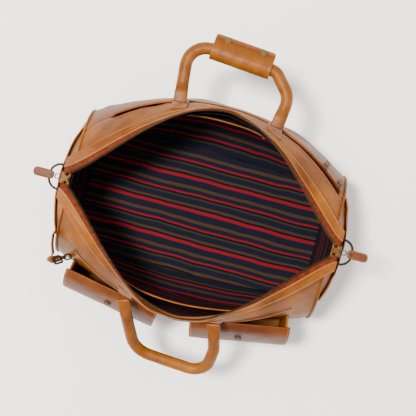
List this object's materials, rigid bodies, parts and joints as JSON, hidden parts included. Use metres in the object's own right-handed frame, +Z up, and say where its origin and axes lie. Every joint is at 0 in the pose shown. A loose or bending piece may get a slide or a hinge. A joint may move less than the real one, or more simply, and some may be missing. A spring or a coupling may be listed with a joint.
{
  "type": "weekender bag",
  "caption": "Leather weekender bag standing open, with a zip mouth, rolled handles, a grip wrap, two flapped cargo pockets, a back zip pocket, D-rings and a striped lining.",
  "frame": {"origin": "centre of the base's underside, on the surface the bag stands on", "axes": "+X along the bag's length, +Y towards the back with the long zip pocket, +Z up"},
  "size_m": [0.5692, 0.5733, 0.2698],
  "materials": {
    "tan_leather": "aniline leather, softly polished",
    "pull_leather": "oiled leather",
    "flap_leather": "oiled leather",
    "zip_tape": "woven tape",
    "lining_cloth": "striped woven cotton",
    "antique_brass": "antique",
    "gunmetal": "dark plated",
    "stiffener": "plain board"
  },
  "bodies": {
    "bag": {"back_panel": "tan_leather", "back_pocket_pouch": "lining_cloth", "back_zip_chain": "antique_brass", "back_zip_tapes": "zip_tape", "base_board": "stiffener", "base_panel": "tan_leather", "buckle_chape": "tan_leather", "buckle_frame": "gunmetal", "corner_ring": "gunmetal", "corner_tab": "tan_leather", "flap_snap_studs": "antique_brass", "front_panel": "tan_leather", "handle_anchors": "tan_leather", "inner_slip_pocket": "lining_cloth", "inner_zip_pocket": "lining_cloth", "left_gusset": "tan_leather", "lining_back": "lining_cloth", "lining_floor": "lining_cloth", "lining_front": "lining_cloth", "lining_left": "lining_cloth", "lining_right": "lining_cloth", "main_slider_left": "antique_brass", "main_slider_right": "antique_brass", "pocket_body_left": "tan_leather", "pocket_body_right": "tan_leather", "right_gusset": "tan_leather", "ring_chapes": "tan_leather", "side_strap_left": "tan_leather", "side_strap_right": "tan_leather", "zip_band_back": "tan_leather", "zip_band_front": "tan_leather", "zip_tape_back": "zip_tape", "zip_tape_front": "zip_tape", "zip_teeth_back": "antique_brass", "zip_teeth_front": "antique_brass"},
    "handle_front": {"handle_front": "tan_leather"},
    "handle_back": {"handle_back": "tan_leather", "grip_wrap_bottom": "tan_leather", "grip_snap_studs": "antique_brass"},
    "wrap_leaf": {"grip_wrap_top": "tan_leather", "grip_snap_caps": "antique_brass"},
    "flap_left": {"pocket_flap_left": "flap_leather", "flap_snap_cap_left": "antique_brass"},
    "flap_right": {"pocket_flap_right": "flap_leather", "flap_snap_cap_right": "antique_brass"},
    "pull_left": {"pull_link_left": "antique_brass", "pull_tab_left": "pull_leather", "pull_rivet_left": "gunmetal"},
    "pull_right": {"pull_link_right": "antique_brass", "pull_tab_right": "pull_leather", "pull_rivet_right": "gunmetal"},
    "ring_left": {"d_ring_left": "gunmetal"},
    "ring_right": {"d_ring_right": "gunmetal"},
    "back_slider_inner": {"back_slider_inner": "antique_brass"},
    "back_slider_outer": {"back_slider_outer": "antique_brass"},
    "back_pull_inner": {"back_pull_inner": "pull_leather"},
    "back_pull_outer": {"back_pull_outer": "pull_leather"},
    "prong": {"buckle_prong": "gunmetal"},
    "inner_slider": {"inner_zip_slider": "antique_brass"},
    "inner_pull": {"inner_zip_pull": "pull_leather"}
  },
  "joints": [
    {"name": "handle_front_swing", "type": "hinge", "parent": "bag", "child": "handle_front", "pos_m": [0, -0.169, 0.24], "axis": [-1, 0, 0], "range_deg": [0, 114]},
    {"name": "handle_back_swing", "type": "hinge", "parent": "bag", "child": "handle_back", "pos_m": [0, 0.169, 0.24], "axis": [1, 0, 0], "range_deg": [-30, 90]},
    {"name": "flap_left_open", "type": "hinge", "parent": "bag", "child": "flap_left", "pos_m": [-0.11332, -0.16351, 0.1946], "axis": [-0.9848, 0.1736, 0], "range_deg": [0, 22]},
    {"name": "flap_right_open", "type": "hinge", "parent": "bag", "child": "flap_right", "pos_m": [0.11332, -0.16351, 0.1946], "axis": [-0.9848, -0.1736, 0], "range_deg": [0, 22]},
    {"name": "pull_left_lift", "type": "hinge", "parent": "bag", "child": "pull_left", "pos_m": [-0.23045, 0, 0.2531], "axis": [0, 1, 0], "range_deg": [0, 150]},
    {"name": "ring_left_swing", "type": "hinge", "parent": "bag", "child": "ring_left", "pos_m": [-0.23744, 0, 0.2365], "axis": [0, -1, 0], "range_deg": [-10, 55]},
    {"name": "pull_right_lift", "type": "hinge", "parent": "bag", "child": "pull_right", "pos_m": [0.23045, 0, 0.2531], "axis": [0, -1, 0], "range_deg": [0, 150]},
    {"name": "ring_right_swing", "type": "hinge", "parent": "bag", "child": "ring_right", "pos_m": [0.23744, 0, 0.2365], "axis": [0, 1, 0], "range_deg": [-10, 55]},
    {"name": "back_slider_inner_run", "type": "hinge", "parent": "bag", "child": "back_slider_inner", "pos_m": [0, -0.124, 0.2], "axis": [0, 0, 1], "range_deg": [0, 70]},
    {"name": "back_slider_outer_run", "type": "hinge", "parent": "bag", "child": "back_slider_outer", "pos_m": [0, -0.124, 0.2], "axis": [0, 0, 1], "range_deg": [0, 4.5]},
    {"name": "back_pull_outer_lift", "type": "hinge", "parent": "back_slider_outer", "child": "back_pull_outer", "pos_m": [0.21457, 0.10934, 0.2], "axis": [0.7361, -0.6769, 0], "range_deg": [0, 95]},
    {"name": "back_pull_inner_lift", "type": "hinge", "parent": "back_slider_inner", "child": "back_pull_inner", "pos_m": [0.18453, 0.13375, 0.2], "axis": [0.8131, -0.5821, 0], "range_deg": [0, 95]},
    {"name": "wrap_open", "type": "hinge", "parent": "handle_back", "child": "wrap_leaf", "pos_m": [0.04965, 0.24667, 0.24], "axis": [0.9969, -0.0787, 0], "range_deg": [0, 105]},
    {"name": "prong_lift", "type": "hinge", "parent": "bag", "child": "prong", "pos_m": [-0.21101, -0.13798, 0.19398], "axis": [-0.374, 0.5998, 0.7074], "range_deg": [0, 95]},
    {"name": "inner_slider_run", "type": "hinge", "parent": "bag", "child": "inner_slider", "pos_m": [0, -0.11881, 0.214], "axis": [0, 0, 1], "range_deg": [0, 34.6]},
    {"name": "inner_pull_lift", "type": "hinge", "parent": "inner_slider", "child": "inner_pull", "pos_m": [0.07227, 0.15946, 0.218], "axis": [-0.964, 0.2659, 0], "range_deg": [0, 30]}
  ]
}
